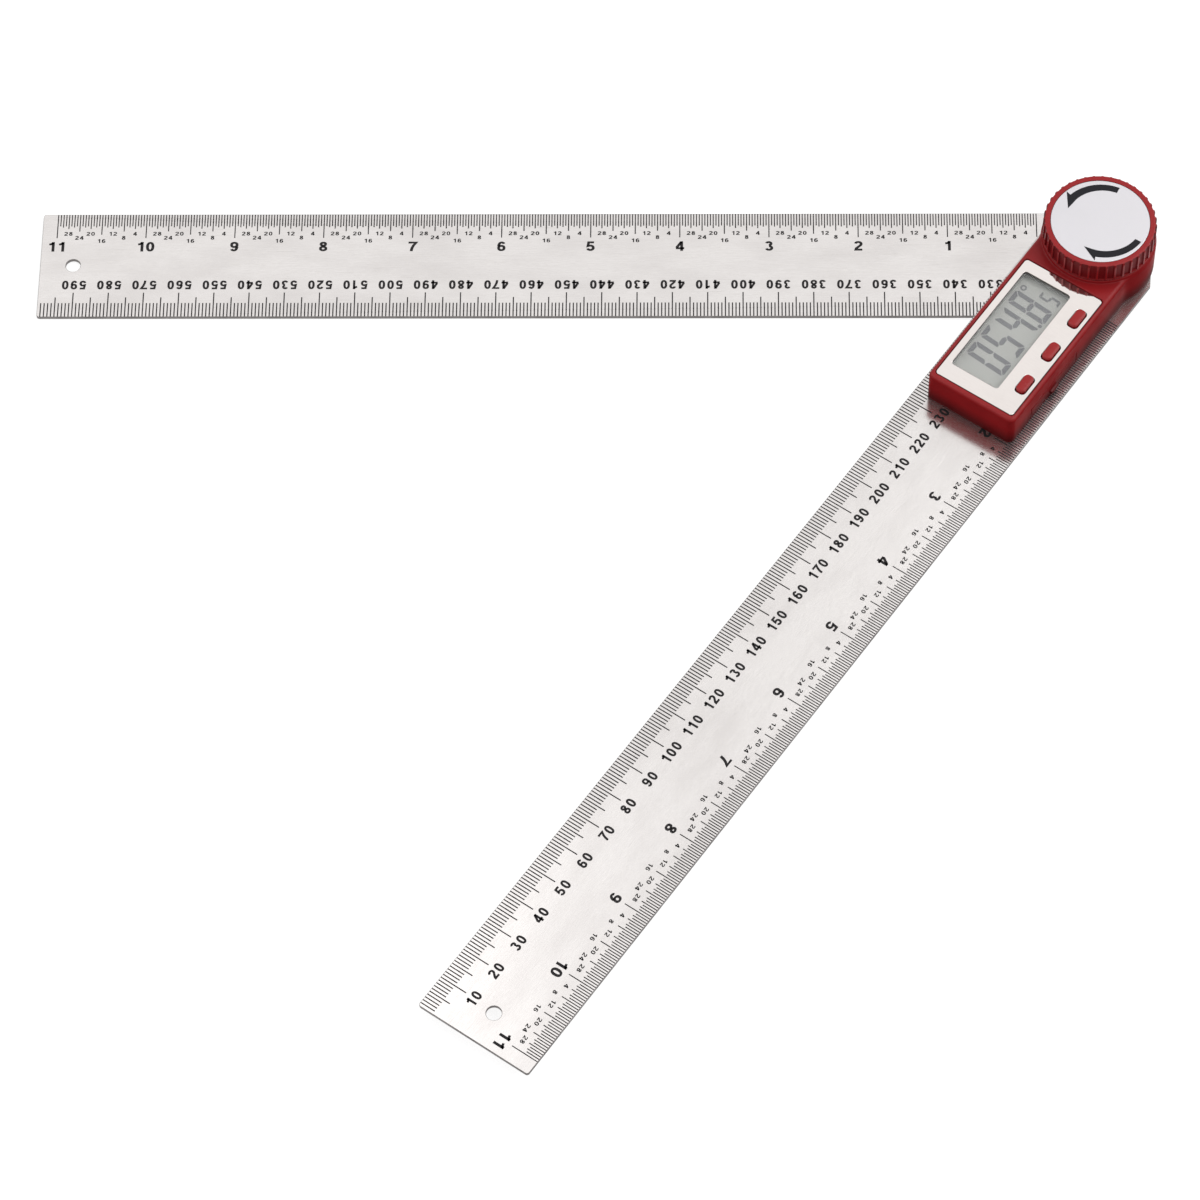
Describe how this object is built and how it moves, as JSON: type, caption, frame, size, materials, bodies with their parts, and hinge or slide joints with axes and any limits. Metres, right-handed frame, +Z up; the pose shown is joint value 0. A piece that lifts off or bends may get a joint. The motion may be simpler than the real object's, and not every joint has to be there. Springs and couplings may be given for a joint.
{
  "type": "digital angle finder",
  "caption": "Digital angle finder: two flat steel ruler arms on one pivot, a display head with push buttons on the upper arm and a ribbed clamping knob on top.",
  "frame": {"origin": "on the pivot axis, at the underside of the measuring arm, on which the tool rests", "axes": "+Z up along the pivot axis through the knob; -X along the measuring arm towards its tip"},
  "size_m": [0.3163, 0.2738, 0.0223],
  "materials": {
    "blade_steel": "long-grain brushed, printed black scales",
    "bright_steel": "turned and plated",
    "plate_metal": "fine satin, nearly mirror bright",
    "red_plastic": "moulded, semi-gloss",
    "button_plastic": "moulded, semi-gloss",
    "black_plastic": "moulded, matt",
    "nylon": "moulded, matt",
    "circuit_board": "solder mask",
    "brass": "turned",
    "clear_window": "clear, polished",
    "display_glass": "grey-green display with dark segments",
    "strip_rubber": "moulded, matt",
    "spring_bronze": "rolled strip",
    "cell_steel": "pressed, satin"
  },
  "bodies": {
    "measuring_arm": {"measuring_blade": "blade_steel", "pivot_stud": "bright_steel", "friction_ring": "nylon", "encoder_rotor": "circuit_board", "rotor_clip": "bright_steel", "hub_screw_1": "bright_steel", "hub_screw_2": "bright_steel", "hub_screw_3": "bright_steel"},
    "display_arm": {"display_blade": "blade_steel", "pivot_bush": "brass", "housing": "red_plastic", "housing_base": "black_plastic", "faceplate": "plate_metal", "lcd_window": "clear_window", "lcd_panel": "display_glass", "connector_strip_left": "strip_rubber", "connector_strip_right": "strip_rubber", "main_board": "circuit_board", "contact_positive": "spring_bronze", "contact_negative": "spring_bronze", "switch_zero": "black_plastic", "switch_hold": "black_plastic", "switch_power": "black_plastic", "housing_screw_1": "bright_steel", "housing_screw_2": "bright_steel", "housing_screw_3": "bright_steel", "housing_screw_4": "bright_steel", "board_screw_1": "bright_steel", "board_screw_2": "bright_steel"},
    "battery_tray": {"battery_tray": "red_plastic", "coin_cell": "cell_steel"},
    "button_zero": {"button_zero": "button_plastic"},
    "button_hold": {"button_hold": "button_plastic"},
    "button_power": {"button_power": "button_plastic"},
    "clamp_washer": {"thrust_washer": "nylon"},
    "knob": {"knob": "red_plastic", "knob_disc": "plate_metal", "knob_insert": "brass"}
  },
  "joints": [
    {"name": "arm_swing", "type": "hinge", "parent": "measuring_arm", "child": "display_arm", "pos_m": [0, 0, 0.00338], "axis": [0, 0, 1], "continuous": true},
    {"name": "knob_lift", "type": "slide", "parent": "measuring_arm", "child": "clamp_washer", "axis": [0, 0, 1], "range_m": [0, 0.0004]},
    {"name": "knob_turn", "type": "hinge", "parent": "clamp_washer", "child": "knob", "pos_m": [0, 0, 0.019], "axis": [0, 0, 1], "range_deg": [0, 180]},
    {"name": "press_zero", "type": "slide", "parent": "display_arm", "child": "button_zero", "axis": [0, 0, -1], "range_m": [0, 0.0004], "stiffness_N_per_m": 600, "springref_m": -0.0008},
    {"name": "press_hold", "type": "slide", "parent": "display_arm", "child": "button_hold", "axis": [0, 0, -1], "range_m": [0, 0.0004], "stiffness_N_per_m": 600, "springref_m": -0.0008},
    {"name": "press_power", "type": "slide", "parent": "display_arm", "child": "button_power", "axis": [0, 0, -1], "range_m": [0, 0.0004], "stiffness_N_per_m": 600, "springref_m": -0.0008},
    {"name": "tray_slide", "type": "slide", "parent": "display_arm", "child": "battery_tray", "axis": [0.8211, -0.5707, 0], "range_m": [0, 0.024]}
  ],
  "couplings": [
    {"joint": "knob_lift", "follows": "knob_turn", "m_per_rad": 0.0001273}
  ]
}
